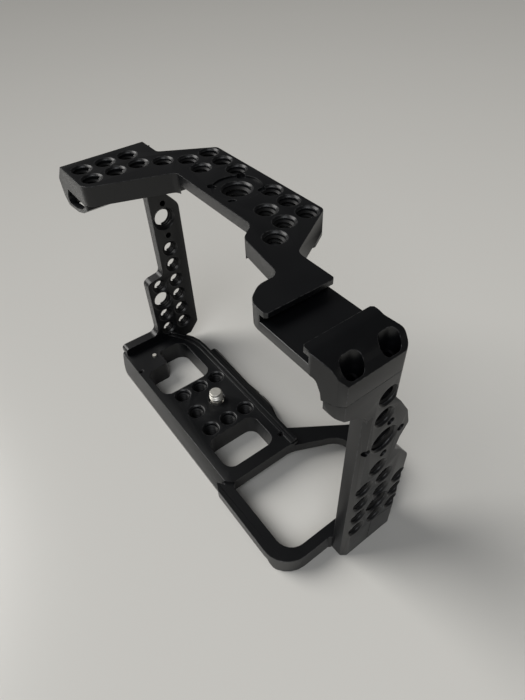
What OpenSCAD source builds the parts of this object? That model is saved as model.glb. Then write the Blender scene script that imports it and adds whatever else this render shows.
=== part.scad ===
// Camera cage: a top plate with cold shoe, two side plates and a base with a
// battery-door opening, bolted together round a mirrorless camera body.
// Millimetres, +Z up. Origin on the table, in the middle of the cage's plan.
// -X is the port side, +X the grip side, +Y points where the lens points.

/* [Cage] */
// Width over the two side plates
cage_w = 145.2; // [143:0.1:149]
// Depth of the base, back of the ring to its front
cage_d = 66.9; // [65:0.1:70]
// Height of the top plate's upper face
cage_h = 113.5; // [112.5:0.1:118]
// Height of the floor that the camera stands on
floor_z = 10.4; // [9.8:0.1:10.8]
// Height of the ring round the battery door
ring_z = 8.7; // [8:0.1:9.2]

/* [Plates] */
// Thickness of the port-side plate
port_t = 5; // [4.6:0.1:5.4]
// Thickness of the grip-side plate
grip_t = 6; // [5.8:0.1:6.4]
// Thickness of the top plate
top_t = 7.4; // [6.8:0.1:8]
// Depth of the rib under the top plate's front edge
rib_t = 8.9; // [8.2:0.1:10]
// Width of the top plate's bar, back edge to front edge
bar_w = 22.8; // [21.8:0.1:25]
// Width of the arm over the camera's port side
arm_w = 21; // [20:0.1:23]
// Depth of the top plate's corner block, down to the seam with the grip-side plate
block_t = 14.7; // [14.2:0.1:15.4]
// Thickness of the port-side plate's foot on the base's floor
port_foot_t = 4; // [3.8:0.1:5]

/* [Threaded holes] */
// Distance between neighbouring threaded holes
hole_pitch = 9; // [8.2:0.1:9.2]
// Major diameter of the 1/4 inch holes
small_d = 6.35; // [5.6:0.05:6.6]
// Major diameter of the 3/8 inch holes
large_d = 9.53; // [9:0.05:10.2]
// Width of the worn countersink round each threaded hole
rim_w = 0.7; // [0.3:0.05:0.8]
// Row distance of the holes in the floor
floor_pitch = 9.4; // [8.4:0.1:9.8]

/* [Cold shoe] */
// Width inside the shoe's channel
shoe_w = 18.6; // [18.2:0.1:19]
// Gap between the shoe's two lips
shoe_gap = 13.4; // [12.4:0.1:14]
// Height of the channel under the lips
shoe_h = 2.4; // [2:0.1:2.6]
// Thickness of the lips
lip_t = 1.7; // [1.4:0.1:2]

/* [Battery door] */
// Width of the opening round the battery door
door_w = 36.2; // [34:0.1:37]
// Width of the ring along the opening's grip side
ring_side_w = 4.8; // [4.4:0.1:6]
// Thickness of the ring where it is clear of the table
ring_t = 4.7; // [4:0.1:6]
// Width of the ring along the opening's back
ring_back_w = 6.2; // [5:0.1:8]
// Width of the ring along the opening's front
ring_front_w = 9; // [8:0.1:12]

/* [Camera screw] */
// Major diameter of the camera screw's thread
screw_d = 6.35; // [6:0.05:6.4]
// Diameter of the screw's neck under its thread
neck_d = 5.4; // [5.2:0.1:5.6]
// Length that stands above the floor
screw_out = 5; // [4:0.1:6]
// Thickness of the floor's web round the screw
web_t = 3; // [2.8:0.1:3.2]
// Diameter of the captive screw's head
head_d = 12; // [11:0.1:12.6]
// Depth that the screw can be backed down
screw_travel = 2.54; // [2:0.01:2.7]

/* [Fasteners] */
// Shank diameter of the joint screws
joint_d = 3; // [2.6:0.1:3]
// Shank diameter of the screws up through the base
foot_screw_d = 2.5; // [2.2:0.1:2.6]
// Diameter of the dowel pins
dowel_d = 2; // [1.6:0.1:2.2]
// Radial room of screws and dowels in their holes
fit = 0.06; // [0.05:0.01:0.1]

/* [Lens-side foot] */
// Length of the foot in front of the base
foot_l = 64.8; // [60:0.1:66]
// Height of the foot
foot_h = 4; // [3.8:0.1:4.6]
// Thickness of the ribbed pad on the foot
pad_t = 1; // [0.8:0.1:1.4]

/* [Hidden] */

black = [0.13, 0.13, 0.14];
steel = [0.72, 0.72, 0.7];
dark_steel = [0.2, 0.2, 0.21];
rubber = [0.07, 0.07, 0.08];

$fn = 48;
eps = 0.01;
big = 200;

xp = -cage_w / 2;              // outer face of the port-side plate
xg = cage_w / 2;               // outer face of the grip-side plate
xpi = xp + port_t;             // its inner face
xgi = xg - grip_t;
yr = -cage_d / 2;              // back edge of the ring
yb = yr + 1.9;                 // back edge of the base
yf = cage_d / 2;
zt = cage_h;                   // upper face of the top plate
seam_z = zt - block_t;         // seam of top plate and grip-side plate

small_r = small_d / 2;
large_r = large_d / 2;
joint_r = joint_d / 2;
foot_screw_r = foot_screw_d / 2;
dowel_r = dowel_d / 2;

// ---- top plate ----
bar_y = -2;                    // back edge of the bar
bar_front = bar_y + bar_w;
arm_end = yr + 1.4;            // free end of the arm
arm_x = xp + 8.6;              // arm's outer edge on the upper face
arm_in = arm_x + arm_w;        // arm's inner edge at its free end
flare_x = xp + 2.5;            // furthest reach of the arm's flared side
neck_x = xg - 35.6;            // port side of the shoe's plate
shoe_back = yr + 10.1;         // back edge of the shoe's plate
shoe_front = -0.4;
shoe_x = xg - 18.2;            // middle of the cold shoe
shoe_floor = zt - lip_t - shoe_h;
block_x = xg - 14.6;           // where the shoe's plate meets the corner block
crown = [[-8.6, 0, 4], [-3.4, -3.1, 4], [-1.8, -5.5, 2], [0, -7.7, 0]]; // fall of the block's top
turn_x = xg - 8.2;             // where the block's back and front turn towards the front
corner_bevel = 1.7;            // bevel of the block's upright back edge
back_rise = 2.9;               // how far the block's back face comes forward
front_rise = 4.8;              // how far its front face comes forward
arm_t = 8;                     // thickness of the arm over the strap slot
strap_l = 22;                  // length of the strap slot
strap_edge = 2.6;              // band that is left at the loop's free end
head_bay_y = [-9, 5.6]; // stretch where the port plate overlaps the arm
boss_z = zt - 14.6;            // bottom of the boss that takes the port plate
joint_x = xg - 2.75;
joint_y = [-15.5, -3.2];       // the two screws of the top joint
joint_dowel_y = (joint_y[0] + joint_y[1]) / 2;
joint_sink_r = 2.2;
joint_sink_w = 1.15;           // half of what the heads' pockets are longer than wide
joint_head_r = joint_sink_r - 0.2;
joint_head_l = 3;
joint_seat = seam_z + 2.6;     // seat of their heads
joint_len = 6.2;
joint_room = 0.5;              // depth that a screw's hole has to spare
dowel_half = 2.9;              // length of a dowel in each of its two pieces
dowel_room = 0.1;
field_x = -9.6;                // lens axis, where the 3/8 inch hole sits
field_y = bar_front - 12.6;
recess_r = 8.6;                // shallow recess round that hole
recess_h = 0.6;
port_screw_z = zt - 11.9;      // screws that hold the port plate to the arm
port_screw_y = [-5.4, 2.2];
port_dowel_y = (port_screw_y[0] + port_screw_y[1]) / 2;
port_head_r = 2.5;
port_screw_in = 3.6;           // length of these screws inside the arm

// ---- port-side plate ----
port_front = 14;
port_back = 0;
port_grid = [-3, floor_z + 5.4];
step_z = port_grid[1] + 3 * hole_pitch + 3.8; // top of the wider lower half, at its back corner
port_eye_z = zt - 37.1;

// ---- grip-side plate ----
grip_back = -9.6;              // back edge of the stem
ear_back = shoe_back + 1.4;    // back edge of the ear under the block
grip_front = 18.5;
grip_grid = [-4.8, 18.8];
grip_eye = [-0.2, seam_z - 29.2]; // upper 3/8 inch hole
heel_y = 3.4;                  // where the base's heel takes over from the plate
heel_z = 14.4;
heel_drop = 3;                 // fall of the heel's top towards the front
heel_gap = 0.15;

// ---- base ----
door_x = xgi - ring_side_w - door_w;
door_y = yr + ring_back_w;
door_front = yf - ring_front_w;
base_front = 6.9;
pocket_z = floor_z - web_t;    // roof of the captive screw's pocket
screw_x = -15.6;
screw_y = -7.9;
pocket_r = head_d / 2 + 0.8;
screw_room = 0.3;              // room round the screw and above its washer
washer_t = 0.6;
washer_z = pocket_z - screw_room - washer_t;
washer_rim = 0.4;              // how far the washer stands past the head
clip_z = 0.3;
clip_t = 0.8;
clip_groove = 0.6;
clip_lip = 0.6;                // how far the clip reaches under the head
clip_gap = 2.8;
head_z = clip_z + clip_t + screw_room + screw_travel;
head_h = washer_z - 0.05 - head_z;
key_r = 2.3;                   // hexagon socket in the head
key_in = 0.8;                  // how far that socket reaches into the neck
thread_z = floor_z + 0.2;      // where the screw's thread starts
tip_bevel = 0.5;
coin_slot = [1.6, 1.2];        // width and depth of the slot across the head
back_slope = [2.4, 8.6];       // width and height of the slope on the back edge
floor_grid = [-15, -19.4];
floor_col = 12.25;
foot_screw_y = [-23.6, -12.4];
foot_dowel_y = (foot_screw_y[0] + foot_screw_y[1]) / 2;
foot_screw_up = port_foot_t - 0.8;
foot_seat_z = 3.1;             // seat of the screws' heads under the base
foot_head_r = 2.25;
door_screw_y = [-6.4, -0.2];
door_screw_z = 4.4;
door_dowel_y = (door_screw_y[0] + door_screw_y[1]) / 2;
door_screw_l = 9;
door_head_r = 2.9;
port_window_x = [xp + 12.4, floor_grid[0] - floor_col - 23.35, floor_grid[0] - floor_col - 4.35];
port_window_y = [yb + 5.35, yb + 17.35, base_front - 7.5];
port_window = [
    [port_window_x[1], port_window_y[0], 4.5], [port_window_x[2], port_window_y[0], 4.5],
    [port_window_x[2], port_window_y[2], 4.5], [port_window_x[0], port_window_y[2], 5],
    [port_window_x[0], port_window_y[1], 2], [port_window_x[1], port_window_y[1], 2]];
grip_window_x = [floor_grid[0] + floor_col + 4.95, door_x - 5.7];
grip_window_y = [yb + 6.65, base_front - 7.3];
grip_window = [
    [grip_window_x[0], grip_window_y[0], 4.5], [grip_window_x[1], grip_window_y[0], 4.5],
    [grip_window_x[1], grip_window_y[1], 4.5], [grip_window_x[0], grip_window_y[1], 4.5]];
pin_at = [xp + 13.4, yb + 14.35];
pin_out = 0.7;
set_screws = [[xp + 19.2, yb + 3.65], [door_x - 6.7, base_front - 4]];
set_r = 1.25;
set_l = 4.2;
set_sink = 0.2;                // depth of the set screws under the floor

// ---- lens-side foot ----
foot_x0 = -50.4;
foot_y = base_front;
foot_tip = 7.3;                // how far the foot stands in front of the base
foot_bolt_x = [-38, -10];
foot_bolt_z = 2;
foot_bolt_l = 9;
foot_bolt_r = 1;
foot_bolt_head = 1.5;
foot_seat = 4.6;               // where the bolts' heads sit

// Rounded corner at b, between its neighbours a and c, as a run of points
function corner_arc(a, b, c) =
    let (pa = [a[0], a[1]], pb = [b[0], b[1]], pc = [c[0], c[1]],
         u = (pa - pb) / norm(pa - pb),
         v = (pc - pb) / norm(pc - pb),
         half = acos(max(-1, min(1, u * v))) / 2,
         room = 0.49 * min(norm(pa - pb), norm(pc - pb)),
         t = min(b[2] / tan(half), room),
         r = t * tan(half),
         mid = pb + (u + v) / norm(u + v) * r / sin(half),
         s = pb + u * t - mid,
         e = pb + v * t - mid,
         turn = 180 - 2 * half,
         side = s[0] * e[1] - s[1] * e[0] > 0 ? 1 : -1,
         n = max(2, ceil(turn / 15)))
    [for (i = [0 : n])
        let (w = side * turn * i / n)
        mid + [s[0] * cos(w) - s[1] * sin(w), s[0] * sin(w) + s[1] * cos(w)]];

// Outline through corners [x, y, radius]
function rounded(p) =
    let (n = len(p))
    [for (i = [0 : n - 1])
        each (p[i][2] > 0
            ? corner_arc(p[(i + n - 1) % n], p[i], p[(i + 1) % n])
            : [[p[i][0], p[i][1]]])];

// Slab of a rounded outline from z0 up to z1
module slab(p, z0, z1) {
    translate([0, 0, z0]) linear_extrude(z1 - z0) polygon(rounded(p));
}

// Outline in the XZ plane, swept along Y from y0 to y1
module along_y(p, y0, y1) {
    translate([0, y1, 0]) rotate([90, 0, 0]) linear_extrude(y1 - y0) polygon(rounded(p));
}

// Outline in the YZ plane, swept along X from x0 to x1
module along_x(p, x0, x1) {
    translate([x0, 0, 0]) rotate([90, 0, 90]) linear_extrude(x1 - x0) polygon(rounded(p));
}

// Cutter for a threaded hole along +Z from 0 to l, countersunk at both ends
module threaded(r, l) {
    translate([0, 0, -eps]) cylinder(h = l + 2 * eps, r = r);
    translate([0, 0, -eps]) cylinder(h = rim_w + eps, r1 = r + rim_w + eps, r2 = r);
    translate([0, 0, l - rim_w]) cylinder(h = rim_w + eps, r1 = r, r2 = r + rim_w + eps);
}

// Threaded holes through the top plate, t thick at [x, y]
module top_holes(places, r, t) {
    for (p = places) translate([p[0], p[1], zt - t]) threaded(r, t);
}

// Threaded holes through a side plate at [y, z]
module side_holes(places, r, x, t) {
    for (p = places) translate([x, p[0], p[1]]) rotate([0, 90, 0]) threaded(r, t);
}

// Socket-head screw, seat of the head at z = 0, shank towards -Z
module socket_screw(r, l, head_r, head_l, key) {
    translate([0, 0, -l]) cylinder(h = l + eps, r = r);
    difference() {
        cylinder(h = head_l, r = head_r);
        translate([0, 0, head_l * 0.4]) cylinder(h = head_l, r = key, $fn = 6);
    }
}

// Countersunk screw, face of the head at z = 0, shank towards -Z
module flat_screw(r, l, head_r, key) {
    sink = head_r - r;
    difference() {
        union() {
            translate([0, 0, -l]) cylinder(h = l, r = r);
            translate([0, 0, -sink]) cylinder(h = sink, r1 = r, r2 = head_r);
        }
        translate([0, 0, -sink * 0.8]) cylinder(h = sink, r = key, $fn = 6);
    }
}

// Hole for a countersunk screw
module flat_hole(r, l, head_r) {
    sink = head_r - r;
    translate([0, 0, -l - fit]) cylinder(h = l + fit + eps, r = r + fit);
    translate([0, 0, -sink - fit]) cylinder(h = sink + fit + eps, r1 = r, r2 = head_r + fit);
}

// Upper face of the top plate: arm, bar, neck and the shoe's plate
top_outline = [
    [arm_x, arm_end, 1.2], [arm_in, arm_end, 4],
    [-32.3, bar_y, 3], [12.4, bar_y, 4], [16.9, -7.9, 4],
    [neck_x - 0.1, -10.8, 3], [neck_x, shoe_back + 5.8, 6], [neck_x + 4.2, shoe_back, 6],
    [block_x, shoe_back, 0], [block_x, shoe_front, 0],
    [neck_x - 4.6, shoe_front, 3.5], [19.6, bar_front, 2.5],
    [-40.6, bar_front, 2.5], [-52.2, 1.4, 2], [arm_x, 1.4, 1]];

// Rib under the front edge of the bar
rib_outline = [
    [-40.6, bar_front, 2.5], [19.6, bar_front, 2.5], [24.6, bar_front - 8, 2],
    [21, bar_front - 9.4, 3], [-38, bar_front - 9.4, 3], [-45.4, bar_front - 8, 2]];

// Plan of the corner block: its back face comes forward towards the grip side
block_back = [
    [turn_x, shoe_back, 0], [xg - corner_bevel, shoe_back + back_rise, 0],
    [xg, shoe_back + back_rise + corner_bevel, 0], [xg + 1, shoe_back + back_rise + corner_bevel, 0],
    [xg + 1, yr - 5, 0], [turn_x, yr - 5, 0]];
block_front = [
    [block_x - 3, shoe_front, 0], [block_x, shoe_front, 0],
    [shoe_x + shoe_gap / 2, shoe_front - 0.4, 0], [turn_x + 0.4, shoe_front - 0.4, 2],
    [xg + eps, shoe_front + front_rise, 2.4], [xg + eps, shoe_front - 6, 0],
    [xg + 1, shoe_front - 6, 0], [xg + 1, 9, 0], [block_x - 3, 9, 0]];

// Bevel of the ear's inner back edge
ear_bevel = [
    [xgi - 1, shoe_back + 2.9, 0], [xgi, shoe_back + 2.9, 0], [xgi + 1.2, shoe_back + 1.5, 0],
    [xgi + 1.2, yr - 5, 0], [xgi - 1, yr - 5, 0]];

// Section of the arm at its free end, with the loop under the strap slot
arm_section = [
    [arm_x, zt, 0], [flare_x, zt - 6.4, 1.5], [flare_x + 0.5, zt - 13.2, 1.5],
    [flare_x + 3.2, zt - 16.4, 1.5], [flare_x + 13, zt - 15.1, 2],
    [arm_x + 13, zt - 13, 3], [arm_x + 18.6, zt - 9.7, 1], [arm_x + 18.8, zt, 0]];

strap_section = [
    [arm_x + 1.6, zt - arm_t, 0.6], [arm_x - 1.6, zt - 12.2, 2], [arm_x - 1, zt - 14.8, 1.2],
    [arm_x + 6.4, zt - 13.6, 4], [arm_x + 12.6, zt - 11.5, 3],
    [arm_x + 16.6, zt - arm_t - 1, 0.4], [arm_x + 16.6, zt - arm_t, 0.4]];
// Opening for the strap in the bottom of the loop
strap_window = [
    [arm_x - 2.4, zt - 14.2, 0], [arm_x + 8, zt - 12.6, 0], [arm_x + 8, zt - 20, 0],
    [arm_x - 2.4, zt - 20, 0]];

// Side of the arm where the port plate overlaps it
bay_section = [
    [arm_x, zt, 0], [xpi, zt - (arm_x - xpi), 0], [xpi, boss_z, 0],
    [xpi + 5.4, boss_z, 1.5], [xpi + 7, zt - top_t, 0], [xpi + 10, zt, 0]];

// Corner block above the grip-side plate, with its crowned upper face
block_section = [
    [block_x - 1, zt, 0],
    for (c = crown) [xg + c[0], zt + c[1], c[2]],
    [xg, seam_z, 0], [xgi + 0.6, seam_z, 0], [xgi + 0.3, seam_z + 2.6, 2],
    [xgi - 1.1, zt - top_t, 2.5], [block_x - 2, zt - top_t, 0]];

// Slot between the shoe's lips, with a small bevel at each lip's end
slot_outline = [
    [shoe_x - shoe_gap / 2 - 3, shoe_back - 2.2, 0], [shoe_x - shoe_gap / 2, shoe_back + 0.8, 0],
    [shoe_x - shoe_gap / 2, shoe_front - 0.8, 0], [shoe_x - shoe_gap / 2 - 3, shoe_front + 2.2, 0],
    [shoe_x + shoe_gap / 2 + 3, shoe_front + 2.2, 0], [shoe_x + shoe_gap / 2, shoe_front - 1.2, 0],
    [shoe_x + shoe_gap / 2, shoe_back + 0.8, 0], [shoe_x + shoe_gap / 2 + 3, shoe_back - 2.2, 0]];

// Slope that thins the lower edge of the plate's side from a to b
module under_bevel(a, b, keep) {
    l = norm(b - a);
    drop = top_t - keep;
    translate([a[0], a[1], zt - top_t])
        rotate([0, 0, atan2(b[1] - a[1], b[0] - a[0])])
            along_x([[-eps, -eps, 0], [drop, -eps, 0], [-eps, drop, 0]], 0, l);
}

module top_plate() {
    arm_holes = [for (i = [0, 1], k = [0 : 2])
        [arm_x + 7.2 + i * hole_pitch, arm_end + 5.4 + k * hole_pitch]];
    row_y = bar_front - 5;
    row = concat([for (i = [1 : 3]) [field_x + i * hole_pitch, row_y]],
                 [for (i = [0 : 2]) [field_x - 11.1 - i * hole_pitch, row_y]]);
    second_row = concat([for (i = [2, 3]) [field_x + i * hole_pitch, row_y - hole_pitch]],
                        [for (i = [1, 2]) [field_x - 11.1 - i * hole_pitch, row_y - hole_pitch]]);
    corners = [[field_x + 32, row_y - 16.5], [arm_x + 20.2, row_y - 16.6]];
    color(black)
    difference() {
        union() {
            slab(top_outline, zt - top_t, zt);
            slab(rib_outline, zt - rib_t, zt - top_t + eps);
            intersection() {
                along_y(arm_section, arm_end, arm_end + strap_l + 3);
                slab([[flare_x - 1, arm_end, 0], [arm_in, arm_end, 4], [arm_in, 0, 0],
                      [flare_x - 1, 0, 0]], 0, big);
            }
            along_y(bay_section, head_bay_y[0], head_bay_y[1] - 4.2);
            along_y([[xpi, boss_z, 0], [xpi + 5.4, boss_z, 0],
                     [xpi + 5.4, zt - top_t + eps, 0], [xpi, zt - top_t + eps, 0]],
                    head_bay_y[0], head_bay_y[1]);
            difference() {
                along_y(block_section, shoe_back, 6);
                slab(block_back, 0, big);
                slab(block_front, 0, big);
            }
        }
        // port plate's bay
        translate([xp - big, head_bay_y[0] - 0.3, 0]) cube([big + port_t, big, zt - eps]);
        // strap slot, open at the arm's free end
        along_y(strap_section, arm_end - eps, arm_end + strap_l);
        along_y(strap_window, arm_end + strap_edge, arm_end + strap_l - strap_edge);
        // slopes under the bar's and the neck's back edges
        under_bevel([-32.3, bar_y], [12.4, bar_y], 4);
        under_bevel([16.9, -7.9], [neck_x - 0.1, -10.8], 5.6);
        // cold shoe
        translate([shoe_x - shoe_w / 2, shoe_back - 5, shoe_floor])
            cube([shoe_w, big, shoe_h]);
        slab(slot_outline, shoe_floor, big);
        top_holes(arm_holes, small_r, arm_t);
        top_holes(row, small_r, rib_t);
        top_holes(second_row, small_r, top_t);
        top_holes(corners, small_r, top_t);
        // 3/8 inch hole with its recess and four notches
        translate([field_x, field_y, zt - rib_t]) threaded(large_r, rib_t - recess_h);
        translate([field_x, field_y, zt - recess_h]) cylinder(h = 1, r = recess_r);
        for (a = [45 : 90 : 315])
            translate([field_x, field_y, zt - recess_h * 2])
                rotate([0, 0, a]) translate([recess_r, 0, 0]) cylinder(h = 2, r = 1.5);
        // screws and dowel of the top joint
        for (y = joint_y) {
            hull() for (k = [-joint_sink_w, joint_sink_w])
                translate([joint_x, y + k, joint_seat]) cylinder(h = big, r = joint_sink_r);
            translate([joint_x, y, seam_z - eps])
                cylinder(h = joint_seat, r = joint_r + fit);
        }
        translate([joint_x, joint_dowel_y, seam_z - eps])
            cylinder(h = dowel_half + dowel_room + eps, r = dowel_r + fit);
        // screws and dowel from the port plate
        for (y = port_screw_y)
            translate([xpi - eps, y, port_screw_z]) rotate([0, 90, 0])
                cylinder(h = port_screw_in + 0.4, r = joint_r + fit);
        translate([xpi - eps, port_dowel_y, port_screw_z]) rotate([0, 90, 0])
            cylinder(h = dowel_half + dowel_room, r = dowel_r + fit);
    }
}

// Port-side plate: stem, head behind the arm, foot along the base
port_outline = [
    [port_front, 11.4, 2], [port_front, zt - 32, 5], [head_bay_y[1], zt - 22.5, 6],
    [head_bay_y[1], zt, 0], [head_bay_y[0], zt, 0], [head_bay_y[0], zt - 14, 2.5],
    [port_back, zt - 18, 3],
    [port_back, step_z + 1.4, 2.6], [port_grid[0] - 6, step_z, 3.2],
    [port_grid[0] - 6, floor_z + port_foot_t, 3.5], [yb + 3.4, floor_z + port_foot_t, 2.5],
    [yb + 3.4, floor_z, 0.6], [-1, floor_z, 0], [-1, 5.5, 0.5], [8.9, 5.5, 0.5]];

module port_side_plate() {
    lower = concat(
        [for (i = [0 : 5]) [port_grid[0] + hole_pitch, port_grid[1] + i * hole_pitch]],
        [for (i = [0, 1, 3]) [port_grid[0], port_grid[1] + i * hole_pitch]]);
    color(black)
    difference() {
        along_x(port_outline, xp, xpi);
        // flare that carries on from the arm
        along_y([[xpi + eps, zt - (arm_x - xpi) + eps, 0], [xp - 1, zt - (arm_x - xp) - 1, 0],
                 [xp - 1, zt + 1, 0], [xpi + 1, zt + 1, 0]], -big / 2, big / 2);
        side_holes(lower, small_r, xp, port_t);
        side_holes([[port_grid[0], port_grid[1] + 2 * hole_pitch],
                    [port_grid[0] + 8.8, port_eye_z]], large_r, xp, port_t);
        // sockets for locating pins above and below the upper hole
        for (z = [port_eye_z + 7.4, port_eye_z - 8.6])
            translate([xpi - 3, port_grid[0] + 9.4, z]) rotate([0, 90, 0])
                cylinder(h = 4, r = 1.3);
        for (y = port_screw_y)
            translate([xp, y, port_screw_z]) rotate([0, -90, 0])
                flat_hole(joint_r, port_t + 2, port_head_r);
        translate([xpi - dowel_half - dowel_room, port_dowel_y, port_screw_z]) rotate([0, 90, 0])
            cylinder(h = port_t, r = dowel_r + fit);
        for (y = foot_screw_y)
            translate([xp + port_t / 2, y, floor_z - eps])
                cylinder(h = foot_screw_up + 0.1, r = foot_screw_r + fit);
        translate([xp + port_t / 2, foot_dowel_y, floor_z - eps])
            cylinder(h = dowel_half + dowel_room, r = dowel_r + fit);
    }
}

// Grip-side plate: ear under the corner block, stem, and a tab to the front
grip_outline = [
    [grip_back, 0, 0.6], [grip_back, seam_z - 10.8, 6], [ear_back + 1, seam_z - 4.6, 3],
    [ear_back, seam_z, 0], [3.8, seam_z, 0], [3.8, seam_z - 14.8, 0],
    [8.1, seam_z - 21.8, 4], [10.2, grip_eye[1], 1.5],
    [7.6, grip_eye[1] - 5, 3], [6.4, grip_grid[1] + 40.1, 0.8],
    [10.4, grip_grid[1] + 36.2, 3], [14.6, grip_grid[1] + 30.2, 4],
    [grip_front - 2.2, grip_grid[1] + 22.2, 6], [grip_front, grip_grid[1] + 11.2, 6],
    [grip_front, heel_z - heel_drop + heel_gap, 0], [8.2, heel_z + heel_gap, 1],
    [heel_y - heel_gap, heel_z + heel_gap, 0], [heel_y - heel_gap, 0, 0]];

module grip_side_plate() {
    columns = concat(
        [for (i = [0 : 3]) [grip_grid[0], grip_grid[1] + i * hole_pitch]],
        [for (i = [0, 2, 3]) [grip_grid[0] + hole_pitch, grip_grid[1] + i * hole_pitch]],
        [for (i = [0 : 2]) [grip_grid[0] + 2 * hole_pitch, grip_grid[1] + i * hole_pitch]]);
    upper = [[-0.2, grip_grid[1] + 4 * hole_pitch - 0.2], [-2.5, seam_z - 7.8],
             [-2.5, seam_z - 7.8 - hole_pitch]];
    color(black)
    difference() {
        along_x(grip_outline, xgi, xg);
        side_holes(columns, small_r, xgi, grip_t);
        side_holes(upper, small_r, xgi, grip_t);
        side_holes([[grip_grid[0] + hole_pitch, grip_grid[1] + hole_pitch],
                    grip_eye], large_r, xgi, grip_t);
        // sockets for locating pins round the upper 3/8 inch hole
        for (p = [[1.1, -8], [1.1, 7.8], [-7.1, -1], [6.8, 0.2]])
            translate([xg - 3, grip_eye[0] + p[0], grip_eye[1] + p[1]]) rotate([0, 90, 0])
                cylinder(h = 4, r = 1.4);
        // bevels of the upright edges
        slab([[xg - 1.6, grip_back - eps, 0], [xg + 1, grip_back - eps, 0],
              [xg + 1, grip_back + 2.2, 0], [xg + eps, grip_back + 2.2, 0]], -1, seam_z - 12.8);
        slab(block_back, seam_z - 18.8, zt);
        slab(ear_bevel, seam_z - 12, zt);
        // the ear's front follows the block's, down to the stem's sloping edge
        intersection() {
            slab(block_front, seam_z - 16, zt);
            along_x([[-1, seam_z - 8.2, 0], [4.2, seam_z - 15.3, 0], [9, seam_z - 15.3, 0],
                     [9, zt, 0], [-1, zt, 0]], xgi - 1, xg + 2);
        }
        slab([[xg + 1, grip_front - 3.5, 0], [xg + eps, grip_front - 3.5, 0],
              [xg - 3.5, grip_front + eps, 0], [xg + 1, grip_front + eps, 0]], -1, zt);
        // screws and dowel of the top joint
        for (y = joint_y)
            translate([joint_x, y, joint_seat - joint_len - joint_room])
                cylinder(h = joint_len, r = joint_r + fit);
        translate([joint_x, joint_dowel_y, seam_z - dowel_half - dowel_room])
            cylinder(h = 2 * dowel_half, r = dowel_r + fit);
        // screws and dowel from the base
        for (y = door_screw_y)
            translate([xgi - eps, y, door_screw_z]) rotate([0, 90, 0])
                cylinder(h = door_screw_l - ring_side_w + joint_room, r = joint_r + fit);
        translate([xgi - eps, door_dowel_y, door_screw_z]) rotate([0, 90, 0])
            cylinder(h = dowel_half + dowel_room, r = dowel_r + fit);
    }
}

// Outer edge of the base and of the ring round the battery door
base_outline = [
    [xp, -1, 0.4], [xp, yb, 6.5], [20.5, yb, 2], [24, yr, 2], [xgi - 0.6, yr, 11],
    [xgi - 0.6, -11, 0.5], [xgi, -10, 0], [xgi, 19, 2], [xgi - 2.2, 21.5, 4],
    [xgi - 11.6, yf, 6], [door_x + 8.6, yf, 5], [foot_x0 + foot_l + 1.6, base_front, 4],
    [-55.7, base_front, 49],
    [xpi, -1.2, 0], [xpi, -1, 0]];

// Higher part of the base, where the camera stands
floor_outline = [
    [xpi, -1.2, 0], [xpi, -1, 0], [xp, -1, 0.4], [xp, yb, 6.5], [20.5, yb, 2],
    [door_x - 0.8, yb + 4.4, 1.5], [door_x + 0.6, yb + 6, 0], [door_x + 0.6, base_front, 0],
    [-55.7, base_front, 49]];

door_outline = [
    [door_x, door_y, 1.5], [xgi - ring_side_w, door_y, 7],
    [xgi - ring_side_w, door_front, 8], [door_x + 9.6, door_front, 9],
    [door_x, 3.5, 10]];

ridge_outline = [
    [xpi, -1.2, 0], [xpi, -8, 0], [door_x, -8, 0], [door_x, base_front, 0],
    [-55.7, base_front, 49]];

// Strip along the base's front edge, w wide, from z0 up to z1
module front_strip(w, z0, z1) {
    difference() {
        slab(ridge_outline, z0, z1);
        translate([0, -w, -1]) slab(ridge_outline, z0, z1 + 2);
    }
}

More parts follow.
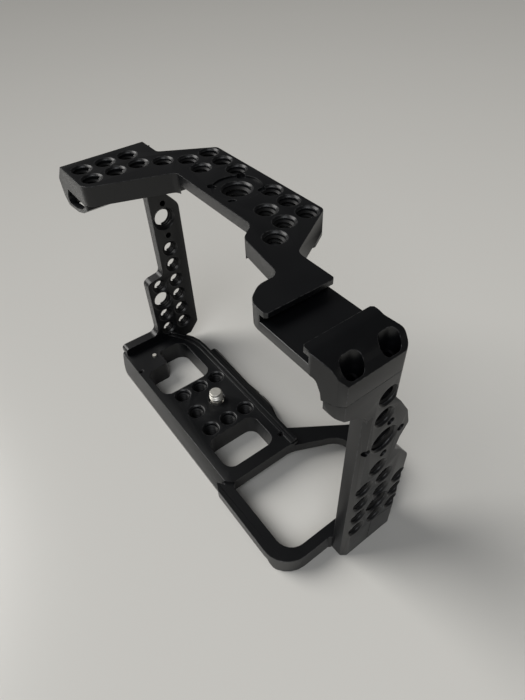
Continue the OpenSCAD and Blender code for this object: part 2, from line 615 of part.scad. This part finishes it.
module base_plate() {
    grid = concat(
        [for (x = [-floor_col, floor_col], i = [0 : 2])
            [floor_grid[0] + x, floor_grid[1] + i * floor_pitch]],
        [[floor_grid[0], floor_grid[1]]]);
    color(black)
    difference() {
        union() {
            slab(base_outline, 0, ring_z);
            slab(floor_outline, ring_z - eps, floor_z);
            // ridges that hold the camera's front
            front_strip(1.5, floor_z - eps, floor_z + 1.6);
            front_strip(3.4, floor_z - eps, floor_z + 0.7);
            // heel under the grip-side plate
            along_x([[heel_y, 0, 0], [grip_front, 0, 0],
                     [grip_front, heel_z - heel_drop, 0], [8.2, heel_z, 1],
                     [heel_y, heel_z, 0]], xgi - eps, xg);
        }
        // slope along the back edge
        intersection() {
            along_x([[yb + back_slope[0], floor_z + eps, 0], [yb - eps, floor_z - back_slope[1], 0],
                     [yb - 2, floor_z - back_slope[1], 0], [yb - 2, floor_z + 1, 0],
                     [yb + back_slope[0], floor_z + 1, 0]], xp - 1, 40);
            slab([[xp - 2, yb - 3, 0], [22, yb - 3, 0], [20.5, yb, 0],
                  [24, yb + back_slope[0] + 0.2, 0], [xp - 2, yb + back_slope[0] + 0.2, 0]],
                 0, 40);
        }
        // the ring is clear of the table between the base and the grip side
        along_y([[22.4, -1, 0], [22.4, ring_z - ring_t - 0.6, 0], [23, ring_z - ring_t, 0],
                 [56.6, ring_z - ring_t, 0], [59.8, -1, 0]], yr - 1, yf + 1);
        // battery door and the heel's front bevel
        slab(door_outline, -1, big);
        slab([[xg + 1, grip_front - 3.5, 0], [xg, grip_front - 3.5, 0],
              [xg - 3.5, grip_front + eps, 0], [xg + 1, grip_front + eps, 0]], -1, zt);
        // windows in the floor
        slab(port_window, -1, big);
        slab(grip_window, -1, big);
        for (p = grid) translate([p[0], p[1], 0]) threaded(small_r, floor_z);
        // captive camera screw
        translate([screw_x, screw_y, -eps]) cylinder(h = pocket_z, r = pocket_r);
        translate([screw_x, screw_y, 0]) cylinder(h = floor_z + 1, r = screw_d / 2 + screw_room);
        translate([screw_x, screw_y, floor_z - 0.5])
            cylinder(h = 1, r1 = screw_d / 2 + screw_room, r2 = screw_d / 2 + screw_room + 1);
        translate([screw_x, screw_y, clip_z - fit])
            cylinder(h = clip_t + 2 * fit, r = pocket_r + clip_groove + fit);
        // screws and dowel up into the port plate's foot
        for (y = foot_screw_y) translate([xp + port_t / 2, y, 0]) {
            translate([0, 0, -eps]) cylinder(h = foot_seat_z + eps, r = foot_head_r + 0.1);
            cylinder(h = big, r = foot_screw_r + fit);
        }
        translate([xp + port_t / 2, foot_dowel_y, floor_z - dowel_half - dowel_room])
            cylinder(h = 2 * dowel_half, r = dowel_r + fit);
        // screws and dowel out into the grip-side plate
        for (y = door_screw_y)
            translate([xgi - ring_side_w, y, door_screw_z]) rotate([0, -90, 0])
                flat_hole(joint_r, ring_side_w + 1, door_head_r);
        translate([xgi - dowel_half - dowel_room, door_dowel_y, door_screw_z]) rotate([0, 90, 0])
            cylinder(h = 2 * dowel_half, r = dowel_r + fit);
        // bolts of the lens-side foot
        for (x = foot_bolt_x)
            translate([x, base_front + eps, foot_bolt_z]) rotate([90, 0, 0])
                cylinder(h = foot_bolt_l - foot_seat + joint_room, r = foot_bolt_r + fit);
        // locating pin and set screws
        translate([pin_at[0], pin_at[1], floor_z - dowel_half - dowel_room])
            cylinder(h = 2 * dowel_half, r = dowel_r + fit);
        for (p = set_screws) translate([p[0], p[1], floor_z - set_sink - set_l - dowel_room])
            cylinder(h = 2 * set_l, r = set_r + fit);
    }
}

foot_outline = [
    [foot_x0, foot_y, 0], [foot_x0, foot_y + foot_tip, 1], [foot_x0 + 4, foot_y + foot_tip, 2],
    [foot_x0 + 18, foot_y + 5.8, 20], [foot_x0 + 33, foot_y + 5.6, 12],
    [foot_x0 + 40, foot_y + foot_tip, 4], [foot_x0 + 46, foot_y + foot_tip, 6],
    [foot_x0 + 57, foot_y + 3.8, 8], [foot_x0 + foot_l, foot_y + 3, 2],
    [foot_x0 + foot_l, foot_y, 0]];

module lens_side_foot() {
    color(black)
    difference() {
        slab(foot_outline, 0, foot_h);
        along_x([[foot_y + foot_tip - 1.6, foot_h + eps, 0], [foot_y + foot_tip + 1, foot_h + eps, 0],
                 [foot_y + foot_tip + 1, foot_h - 2.6, 0]], foot_x0 - 1, foot_x0 + foot_l + 1);
        for (x = foot_bolt_x)
            translate([x, foot_y + foot_seat, foot_bolt_z]) rotate([-90, 0, 0]) {
                translate([0, 0, -foot_tip]) cylinder(h = foot_tip + eps, r = foot_bolt_r + fit);
                cylinder(h = foot_tip, r = foot_bolt_head + 0.1);
            }
    }
}

module lens_foot_pad() {
    x0 = foot_x0 + 3;
    l = foot_l - 10;
    color(rubber)
    difference() {
        slab([[x0, foot_y + 0.6, 0.5], [x0, foot_y + 4.8, 1.5], [x0 + l - 8, foot_y + 4.8, 4],
              [x0 + l, foot_y + 2.6, 1], [x0 + l, foot_y + 0.6, 0.5]],
             foot_h, foot_h + pad_t);
        for (i = [0 : 2])
            translate([x0 - 1, foot_y + 1.3 + i * 1.1, foot_h + pad_t / 2])
                cube([l + 2, 0.5, pad_t]);
    }
}

module lens_foot_screws() {
    color(dark_steel)
    for (x = foot_bolt_x)
        translate([x, foot_y + foot_seat, foot_bolt_z]) rotate([-90, 0, 0])
            socket_screw(foot_bolt_r, foot_bolt_l, foot_bolt_head, 1.2, 0.8);
}

module top_joint_screws() {
    color(dark_steel)
    for (y = joint_y)
        translate([joint_x, y, joint_seat])
            socket_screw(joint_r, joint_len, joint_head_r, joint_head_l, 1.3);
}

module top_joint_dowel() {
    color(steel)
    translate([joint_x, joint_dowel_y, seam_z - dowel_half])
        cylinder(h = 2 * dowel_half, r = dowel_r);
}

module port_top_screws() {
    color(dark_steel)
    for (y = port_screw_y)
        translate([xp, y, port_screw_z]) rotate([0, -90, 0])
            flat_screw(joint_r, port_t + port_screw_in, port_head_r, 1);
}

module port_top_dowel() {
    color(steel)
    translate([xpi - dowel_half, port_dowel_y, port_screw_z]) rotate([0, 90, 0])
        cylinder(h = 2 * dowel_half, r = dowel_r);
}

module port_base_screws() {
    color(dark_steel)
    for (y = foot_screw_y)
        translate([xp + port_t / 2, y, foot_seat_z]) mirror([0, 0, 1])
            socket_screw(foot_screw_r, floor_z - foot_seat_z + foot_screw_up,
                         foot_head_r, foot_seat_z - 0.6, 1);
}

module port_base_dowel() {
    color(steel)
    translate([xp + port_t / 2, foot_dowel_y, floor_z - dowel_half])
        cylinder(h = 2 * dowel_half, r = dowel_r);
}

module grip_base_screws() {
    color(dark_steel)
    for (y = door_screw_y)
        translate([xgi - ring_side_w, y, door_screw_z]) rotate([0, -90, 0])
            flat_screw(joint_r, door_screw_l, door_head_r, 1);
}

module grip_base_dowel() {
    color(steel)
    translate([xgi - dowel_half, door_dowel_y, door_screw_z]) rotate([0, 90, 0])
        cylinder(h = 2 * dowel_half, r = dowel_r);
}

module camera_screw() {
    color(steel)
    translate([screw_x, screw_y, 0])
    difference() {
        union() {
            translate([0, 0, head_z]) cylinder(h = head_h, r = head_d / 2);
            translate([0, 0, head_z + head_h - eps])
                cylinder(h = thread_z - head_z - head_h + 2 * eps, r = neck_d / 2);
            translate([0, 0, thread_z])
                cylinder(h = floor_z + screw_out - tip_bevel - thread_z, r = screw_d / 2);
            translate([0, 0, floor_z + screw_out - tip_bevel - eps])
                cylinder(h = tip_bevel + eps, r1 = screw_d / 2, r2 = screw_d / 2 - 0.7);
        }
        translate([0, 0, head_z - eps]) {
            cylinder(h = head_h + key_in, r = key_r, $fn = 6);
            translate([-head_d, -coin_slot[0] / 2, 0])
                cube([2 * head_d, coin_slot[0], coin_slot[1]]);
        }
    }
}

module camera_screw_washer() {
    color(steel)
    translate([screw_x, screw_y, washer_z])
    difference() {
        cylinder(h = washer_t, r = head_d / 2 + washer_rim);
        translate([0, 0, -1]) cylinder(h = 3, r = screw_d / 2 + fit + 0.02);
    }
}

// Circlip that keeps the screw in its pocket, open on one side
module camera_screw_ring() {
    color(dark_steel)
    translate([screw_x, screw_y, clip_z])
    difference() {
        cylinder(h = clip_t, r = pocket_r + clip_groove);
        translate([0, 0, -1]) cylinder(h = 3, r = head_d / 2 - clip_lip);
        translate([-clip_gap / 2, 0, -1]) cube([clip_gap, big, 3]);
    }
}

module locating_pin() {
    color(steel)
    translate([pin_at[0], pin_at[1], floor_z - dowel_half])
        cylinder(h = dowel_half + pin_out, r = dowel_r);
}

module floor_set_screws() {
    color(dark_steel)
    for (p = set_screws) translate([p[0], p[1], floor_z - set_sink - set_l])
        difference() {
            cylinder(h = set_l, r = set_r);
            translate([0, 0, set_l * 0.6]) cylinder(h = set_l, r = set_r * 0.56, $fn = 6);
        }
}

top_plate();
port_side_plate();
base_plate();
grip_side_plate();
lens_side_foot();
lens_foot_pad();
lens_foot_screws();
top_joint_screws();
top_joint_dowel();
port_top_screws();
port_base_screws();
port_base_dowel();
grip_base_screws();
grip_base_dowel();
camera_screw();
camera_screw_washer();
camera_screw_ring();
locating_pin();
floor_set_screws();
port_top_dowel();
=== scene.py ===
import bmesh
import bpy
import math
from mathutils import Matrix, Vector
from mathutils.bvhtree import BVHTree


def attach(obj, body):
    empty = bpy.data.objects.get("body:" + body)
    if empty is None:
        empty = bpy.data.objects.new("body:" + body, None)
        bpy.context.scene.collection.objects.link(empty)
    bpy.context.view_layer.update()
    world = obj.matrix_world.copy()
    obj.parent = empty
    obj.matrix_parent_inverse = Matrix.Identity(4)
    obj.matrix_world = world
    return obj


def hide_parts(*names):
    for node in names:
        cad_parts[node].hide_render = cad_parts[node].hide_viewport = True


# The whole scene is in metres, in the part's own frame: -X is the port side,
# +X the grip side, +Y points where the lens points, +Z is up.
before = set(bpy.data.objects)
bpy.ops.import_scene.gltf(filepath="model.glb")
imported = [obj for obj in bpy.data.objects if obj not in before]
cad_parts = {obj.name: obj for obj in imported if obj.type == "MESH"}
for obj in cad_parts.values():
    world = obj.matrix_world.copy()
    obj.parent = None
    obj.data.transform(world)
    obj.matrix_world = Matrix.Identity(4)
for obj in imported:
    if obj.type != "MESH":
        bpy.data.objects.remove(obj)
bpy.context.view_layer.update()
MM = 0.001


# ---------------------------------------------------------------- camera
def look():
    """Camera above the back corner of the grip side, looking down at the cage."""
    place = Vector((122.55, -77, 193.4)) * MM
    right = Vector((0.6002, 0.7992, -0.0334))
    down = Vector((0.5506, -0.4430, -0.7075))
    ahead = Vector((-0.5802, 0.4062, -0.7059))
    data = bpy.data.cameras.new("camera")
    data.lens = 26.039
    data.sensor_width = 36
    data.clip_start = 0.01
    camera = bpy.data.objects.new("camera", data)
    turn = Matrix((right, -down, -ahead)).transposed().to_4x4()
    camera.matrix_world = Matrix.Translation(place) @ turn
    bpy.context.scene.collection.objects.link(camera)
    bpy.context.scene.camera = camera


look()


# ---------------------------------------------------------------- materials
class Wire:
    """A socket or a number that Python's operators join into Math nodes."""

    def __init__(self, tree, value):
        self.tree, self.value = tree, value

    def math(self, operation, *others):
        made = self.tree.nodes.new("ShaderNodeMath")
        made.operation = operation
        for i, item in enumerate((self,) + others):
            item = item.value if isinstance(item, Wire) else item
            if isinstance(item, (int, float)):
                made.inputs[i].default_value = item
            else:
                self.tree.links.new(item, made.inputs[i])
        return Wire(self.tree, made.outputs[0])

    def __add__(self, other): return self.math("ADD", other)
    def __radd__(self, other): return self.math("ADD", other)
    def __sub__(self, other): return self.math("SUBTRACT", other)
    def __rsub__(self, other): return Wire(self.tree, other).math("SUBTRACT", self)
    def __mul__(self, other): return self.math("MULTIPLY", other)
    def __rmul__(self, other): return self.math("MULTIPLY", other)


class Finish:
    """A material under construction: its nodes, and its Principled shader."""

    def __init__(self, name, **constants):
        self.material = bpy.data.materials.new(name)
        self.material.use_nodes = True
        self.tree = self.material.node_tree
        self.shader = self.tree.nodes["Principled BSDF"]
        for socket, value in constants.items():
            self.shader.inputs[socket.replace("_", " ")].default_value = value
        self.place = self.node("ShaderNodeTexCoord", "Object")

    def node(self, kind, output=0, settings=(), **sockets):
        """Adds a node: its settings first, then values or links into its sockets."""
        made = self.tree.nodes.new(kind)
        for key, value in dict(settings).items():
            if key == "stops":
                ramp = made.color_ramp
                while len(ramp.elements) < len(value):
                    ramp.elements.new(0.5)
                for element, (position, shade) in zip(ramp.elements, value):
                    element.position, element.color = position, (shade, shade, shade, 1)
            else:
                setattr(made, key, value)
        for key, value in sockets.items():
            socket = made.inputs[int(key[1:]) if key[1:].isdigit() else key.replace("_", " ")]
            value = value.value if isinstance(value, Wire) else value
            if isinstance(value, bpy.types.NodeSocket):
                self.tree.links.new(value, socket)
            else:
                socket.default_value = value
        return Wire(self.tree, made.outputs[output])

    def noise(self, size, detail, stretch=(1, 1, 1)):
        """Noise whose grains are about size millimetres wide."""
        at = self.node("ShaderNodeMapping", Vector=self.place, Scale=stretch)
        return self.node("ShaderNodeTexNoise", Vector=at, Scale=1 / (size * MM), Detail=detail)

    def steps(self, wire, *stops):
        """A grey ramp over wire, through (position, grey) stops."""
        return self.node("ShaderNodeValToRGB", settings={"stops": stops}, Fac=wire)

    def mix(self, factor, first, second):
        """A colour from first to second as factor goes from 0 to 1."""
        return self.node("ShaderNodeMix", 2, {"data_type": "RGBA"}, _0=factor, _6=first, _7=second)

    def attribute(self, name):
        return self.node("ShaderNodeAttribute", "Fac", {"attribute_name": name})

    def bump(self, height, depth, strength):
        """Relief of depth millimetres."""
        return self.node("ShaderNodeBump", Height=height, Distance=depth * MM, Strength=strength)

    def feed(self, **sockets):
        """Links wires into the shader's sockets and gives the finished material."""
        for key, wire in sockets.items():
            self.tree.links.new(wire.value, self.shader.inputs[key.replace("_", " ")])
        return self.material


def anodised():
    """Blasted and black anodised aluminium, rubbed lighter along its edges and chamfers; the lightening
    is partly wear and partly a painted highlight.
    """
    deep, faded, bare_and_highlight = (0.0014, 0.0018, 0.0026, 1), (0.0026, 0.0030, 0.0038, 1), (0.12, 0.12, 0.123, 1)
    finish = Finish("anodised_black", Metallic=0.0, IOR=1.5)
    blast = finish.noise(0.16, 3)
    cloud = finish.noise(14, 2)
    rub = finish.noise(1.1, 3)
    edge = finish.attribute("edge")
    # edges and chamfers are painted towards a light bare grey: partly rubbed wear, partly a painted
    # highlight
    worn_and_highlight_mask = finish.steps(edge * (0.35 + rub * 0.95), (0.5, 0), (0.9, 1))
    coat = finish.mix(finish.steps(cloud, (0.3, 0), (0.7, 1)), deep, faded)
    rough = 0.30 + blast * 0.07 + cloud * 0.05 - edge * 0.03
    return finish.feed(Base_Color=finish.mix(worn_and_highlight_mask, coat, bare_and_highlight), Roughness=rough,
                       Metallic=worn_and_highlight_mask * 0.6, Normal=finish.bump(blast, 0.006, 0.5))


def thread_finish():
    """The black coat inside a threaded hole, uneven from the tap."""
    deep, faded = (0.0018, 0.0019, 0.0022, 1), (0.005, 0.005, 0.0055, 1)
    finish = Finish("anodised_thread", IOR=1.36)
    cut = finish.noise(0.3, 2)
    return finish.feed(Base_Color=finish.mix(cut, deep, faded), Roughness=0.42 + cut * 0.12,
                       Normal=finish.bump(cut, 0.01, 0.4))


def turned_steel(name, shade, rough):
    """Steel turned on a lathe: fine rings and dull patches."""
    dull, clean = tuple(0.86 * c for c in shade) + (1,), tuple(shade) + (1,)
    finish = Finish(name, Metallic=1.0)
    rings = finish.noise(0.12, 2, (0.25, 0.25, 2.5))
    patch = finish.noise(1.6, 2)
    return finish.feed(Base_Color=finish.mix(patch, dull, clean),
                       Roughness=rough + rings * 0.10 + patch * 0.08,
                       Normal=finish.bump(rings, 0.008, 0.4))


def pad_rubber():
    """Black rubber with a fine grain and a little dust."""
    clean, dusty = (0.010, 0.010, 0.011, 1), (0.020, 0.020, 0.020, 1)
    finish = Finish("pad_rubber", IOR=1.48)
    grain = finish.noise(0.25, 3)
    dust = finish.noise(3, 3)
    return finish.feed(Base_Color=finish.mix(finish.steps(dust, (0.4, 0), (0.8, 1)), clean, dusty),
                       Roughness=0.62 + grain * 0.14, Normal=finish.bump(grain, 0.02, 0.6))


BLACK = anodised()
THREAD = thread_finish()
STAINLESS = turned_steel("stainless_turned", (0.88, 0.86, 0.80), 0.40)
OXIDE = turned_steel("black_oxide_steel", (0.035, 0.035, 0.038), 0.30)
RUBBER = pad_rubber()


# ---------------------------------------------------------------- plates
EDGE = 0.15 * MM                # how far the plates' edges are rounded
SHARP = math.radians(28)        # an edge that turns by more than this is rounded
FOLDED = math.radians(150)      # an edge that turns by more than this is folded over
CREASE = math.radians(22)       # shading breaks where a surface turns by more than this
SHORT = 1.5 * MM                # edges shorter than this may be spared from rounding
# how much lighter chamfers and rounded edges are painted: partly wear, partly a painted highlight
CHAMFER_WEAR_AND_HIGHLIGHT, EDGE_WEAR_AND_HIGHLIGHT = 0.45, 0.7


def add_piece(name, mesh, material, slot, *nodes, body="cage"):
    """Gives a finished bmesh its object, material and body; its record slot is not used."""
    for f in mesh.faces:
        f.smooth = True
    data = bpy.data.meshes.new(name)
    mesh.to_mesh(data)
    mesh.free()
    data.materials.append(material)
    data.set_sharp_from_angle(angle=CREASE)
    piece = bpy.data.objects.new(name, data)
    bpy.context.scene.collection.objects.link(piece)
    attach(piece, body)
    if nodes:
        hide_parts(*nodes)


def plate_copy(node):
    """A CAD node's mesh with its triangles joined into whole faces."""
    mesh = bmesh.new()
    mesh.from_mesh(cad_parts[node].data)
    bmesh.ops.remove_doubles(mesh, verts=mesh.verts, dist=0.002 * MM)
    bmesh.ops.dissolve_limit(mesh, angle_limit=math.radians(0.4), verts=mesh.verts,
                             edges=mesh.edges, use_dissolve_boundaries=False)
    return mesh


def rounded(node, spared):
    """A plate with its sharp edges rounded, except short ones that end at a spared place."""
    mesh = plate_copy(node)
    wear_and_highlight_layer = mesh.faces.layers.float.new("edge")
    for f in mesh.faces:
        slant = max(abs(n) for n in f.normal)
        turned = [e for e in f.edges if 40 < math.degrees(e.calc_face_angle(0)) < 50]
        # 45-degree chamfers, such as the holes' rims, get a lighter colour: partly wear, partly a
        # painted highlight
        if 0.69 < slant < 0.73 and len(turned) > 1:
            f[wear_and_highlight_layer] = CHAMFER_WEAR_AND_HIGHLIGHT
    near = 2.5 * EDGE
    crowded = {v for v in mesh.verts if any((v.co - p).length < near for p in spared)}
    sharp = [e for e in mesh.edges if e.is_convex and e.calc_face_angle(0) > SHARP
             and not (crowded.intersection(e.verts) and e.calc_length() < SHORT)]
    made = bmesh.ops.bevel(mesh, geom=sharp, offset=EDGE, affect="EDGES", segments=2,
                           profile=0.5, material=-1, clamp_overlap=False)
    # the rounded edges get a lighter colour: partly wear, partly a painted highlight
    for f in made["faces"]:
        f[wear_and_highlight_layer] = EDGE_WEAR_AND_HIGHLIGHT
    return mesh


def dressed(node):
    """A plate with rounded edges, and its edges and chamfers marked as worn and as painted highlight.
    """
    surface = BVHTree.FromBMesh(plate_copy(node))
    spared = []
    tries = 4
    for attempt in range(tries):
        mesh = rounded(node, spared)
        # Where edges crowd together the rounding folds over: those edges are left sharp.
        folds = [(e.verts[0].co + e.verts[1].co) / 2 for e in mesh.edges
                 if len(e.link_faces) == 2 and e.calc_face_angle(0) > FOLDED]
        if not folds or attempt == tries - 1:
            break
        spared += folds
        mesh.free()
    # A point that the rounding still threw off the plate goes back onto it.
    for v in mesh.verts:
        nearest, out, _, gap = surface.find_nearest(v.co)
        if gap > 0.5 * EDGE or (v.co - nearest).dot(out) > 0.01 * MM:
            v.co = nearest
    add_piece(node + "_dressed", mesh, BLACK, "anodised", node)


for plate in ("top_plate", "port_side_plate", "base_plate", "grip_side_plate", "lens_side_foot"):
    dressed(plate)


# ---------------------------------------------------------------- threads
QUARTER = (2.5, 3.175, 1.27)            # crest and root radius and pitch of a 1/4 inch thread
THREE_EIGHTHS = (3.9, 4.765, 1.5875)
GRID = 9                                # from hole to hole
RIM = 0.7                               # depth of a hole's chamfered rim


def coil(inner, outer, pitch, length, inside=True):
    """One helical ridge along +Z from 0: a thread in a hole, or on a shank if not inside."""
    root, crest = (outer + 0.02, inner) if inside else (inner - 0.02, outer)
    around = 20
    mesh = bmesh.new()
    half, flat = 0.46 * pitch, 0.07 * pitch
    corners = [(root, -half), (crest, -flat), (crest, flat), (root, half)]
    face = mesh.faces.new([mesh.verts.new((r * MM, 0, (z + half) * MM)) for r, z in corners])
    turns = (length - 2 * half) / pitch
    steps = int(turns * around)
    bmesh.ops.spin(mesh, geom=[face, *face.edges, *face.verts], cent=(0, 0, 0), axis=(0, 0, 1),
                   dvec=(0, 0, turns * pitch / steps * MM), angle=turns * math.tau, steps=steps)
    bmesh.ops.recalc_face_normals(mesh, faces=mesh.faces)
    data = bpy.data.meshes.new("coil")
    mesh.to_mesh(data)
    mesh.free()
    return data


def put(mesh, data, place):
    """Adds a copy of data to mesh, moved and turned by the matrix place."""
    before = set(mesh.verts)
    mesh.from_mesh(data)
    bmesh.ops.transform(mesh, matrix=place, verts=[v for v in mesh.verts if v not in before])


def threads(name, axis, holes):
    """The threads of one plate's holes: the centre of each in mm, its depth and its thread."""
    mesh = bmesh.new()
    turn = Matrix.Rotation(math.radians(90) if axis == "X" else 0, 4, "Y")
    cut = {}
    for centre, depth, thread in holes:
        if (depth, thread) not in cut:
            cut[depth, thread] = coil(*thread, depth)
        place = (Matrix.Translation(Vector(centre) * MM) @ turn
                 @ Matrix.Translation((0, 0, -depth / 2 * MM)))
        put(mesh, cut[depth, thread], place)
    add_piece(name, mesh, THREAD, "anodised")


LENS_X, BAR_Y = -9.6, 15.8      # the lens axis, and the front row of the bar's holes
THIN, THICK, ARM = 7.4 - 2 * RIM, 8.9 - 2 * RIM, 6.6
threads("top_plate_threads", "Z",
        [((-56.8 + GRID * i, -26.65 + GRID * k, 109.5), ARM, QUARTER)
         for i in (0, 1) for k in (0, 1, 2)]
        + [((LENS_X + GRID * i, BAR_Y, 109.05), THICK, QUARTER) for i in (1, 2, 3)]
        + [((LENS_X - 11.1 - GRID * i, BAR_Y, 109.05), THICK, QUARTER) for i in (0, 1, 2)]
        + [((LENS_X + x, BAR_Y - GRID, 109.8), THIN, QUARTER) for x in (18, 27, -20.1, -29.1)]
        + [((22.4, -0.7, 109.8), THIN, QUARTER), ((-43.8, -0.8, 109.8), THIN, QUARTER),
           ((LENS_X, 8.2, 109.2), 6.0, THREE_EIGHTHS)])

PORT_X, PORT_DEPTH = -70.1, 4.9
threads("port_side_threads", "X",
        [((PORT_X, 6, 15.8 + GRID * i), PORT_DEPTH, QUARTER) for i in range(6)]
        + [((PORT_X, -3, 15.8 + GRID * i), PORT_DEPTH, QUARTER) for i in (0, 1, 3)]
        + [((PORT_X, y, z), PORT_DEPTH, THREE_EIGHTHS) for y, z in ((-3, 33.8), (5.8, 76.4))])

GRIP_X, GRIP_DEPTH = 69.6, 5.8
threads("grip_side_threads", "X",
        [((GRIP_X, -4.8, 18.8 + GRID * i), GRIP_DEPTH, QUARTER) for i in range(4)]
        + [((GRIP_X, 4.2, 18.8 + GRID * i), GRIP_DEPTH, QUARTER) for i in (0, 2, 3)]
        + [((GRIP_X, 13.2, 18.8 + GRID * i), GRIP_DEPTH, QUARTER) for i in range(3)]
        + [((GRIP_X, y, z), GRIP_DEPTH, QUARTER) for y, z in ((-0.2, 54.6), (-2.5, 91), (-2.5, 82))]
        + [((GRIP_X, y, z), GRIP_DEPTH, THREE_EIGHTHS) for y, z in ((4.2, 27.8), (-0.2, 69.6))])

FLOOR_X, FLOOR_Y, FLOOR_Z = -15, -19.4, 5.2     # the first hole of the floor's middle column
FLOOR_DEPTH = 10.4 - 2 * RIM
threads("base_threads", "Z",
        [((FLOOR_X + 12.25 * i, FLOOR_Y + 9.4 * k, FLOOR_Z), FLOOR_DEPTH, QUARTER)
         for i in (-1, 1) for k in (0, 1, 2)]
        + [((FLOOR_X, FLOOR_Y, FLOOR_Z), FLOOR_DEPTH, QUARTER)])


# ---------------------------------------------------------------- screws and small parts
def camera_screw():
    """The camera screw with its shank turned down to the thread's core, and the thread."""
    centre = Vector((-15.6, -7.9, 0)) * MM
    shank_r, core = 3.175 * MM, 0.83
    mesh = plate_copy("camera_screw")
    shank = [v for v in mesh.verts if abs((v.co - centre).xy.length - shank_r) < 0.03 * MM]
    bmesh.ops.scale(mesh, vec=(core, core, 1), verts=shank, space=Matrix.Translation(-centre))
    put(mesh, coil(2.64, 3.12, 1.27, 4.2, inside=False),
        Matrix.Translation(centre + Vector((0, 0, 10.65 * MM))))
    add_piece("camera_screw_dressed", mesh, STAINLESS, "steel", "camera_screw",
              body="camera_screw")


camera_screw()

plain = {"lens_foot_pad": RUBBER, "camera_screw": STAINLESS, "camera_screw_washer": STAINLESS,
         "locating_pin": STAINLESS, "camera_screw_ring": OXIDE}
for node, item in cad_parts.items():
    finish = plain.get(node, STAINLESS if node.endswith("dowel") else OXIDE)
    item.data.materials.clear()
    item.data.materials.append(finish)


# ---------------------------------------------------------------- floor and light
def table():
    """A pale glossy table top."""
    mesh = bmesh.new()
    bmesh.ops.create_grid(mesh, x_segments=1, y_segments=1, size=3.0)
    data = bpy.data.meshes.new("table_top")
    mesh.to_mesh(data)
    mesh.free()
    laminate = Finish("table_laminate", Base_Color=(0.74, 0.73, 0.695, 1), Roughness=0.22, IOR=1.45)
    data.materials.append(laminate.material)
    top = bpy.data.objects.new("table_top", data)
    bpy.context.scene.collection.objects.link(top)
    top.location.z = -0.2 * MM


def room():
    """A dim room that the camera sees as white."""
    world = bpy.data.worlds.new("room")
    bpy.context.scene.world = world
    world.use_nodes = True
    nodes, links = world.node_tree.nodes, world.node_tree.links
    dim = nodes["Background"]
    dim.inputs["Color"].default_value = (0.075, 0.074, 0.073, 1)
    white = nodes.new("ShaderNodeBackground")
    white.inputs["Color"].default_value = (1, 1, 1, 1)
    seen = nodes.new("ShaderNodeLightPath")
    choice = nodes.new("ShaderNodeMixShader")
    links.new(seen.outputs["Is Camera Ray"], choice.inputs[0])
    links.new(dim.outputs[0], choice.inputs[1])
    links.new(white.outputs[0], choice.inputs[2])
    links.new(choice.outputs[0], nodes["World Output"].inputs["Surface"])


def lamp(name, kind, place, strength, shade, **settings):
    """A lamp at place that points at the middle of the object."""
    light = bpy.data.lights.new(name, kind)
    light.energy, light.color = strength, shade
    for key, value in settings.items():
        setattr(light, key, value)
    item = bpy.data.objects.new(name, light)
    item.location = place
    aim = Vector((0, 0, 0.05)) - Vector(place)
    item.rotation_euler = aim.to_track_quat("-Z", "Y").to_euler()
    bpy.context.scene.collection.objects.link(item)


table()
room()
lamp("window", "SUN", (-1.1, -0.8, 1.2), 2.3, (1, 0.985, 0.96), angle=math.radians(42))
lamp("fill", "AREA", (0.9, -0.9, 1.4), 11, (0.95, 0.97, 1), shape="DISK", size=1.4)
bpy.context.scene.view_settings.view_transform = "Standard"
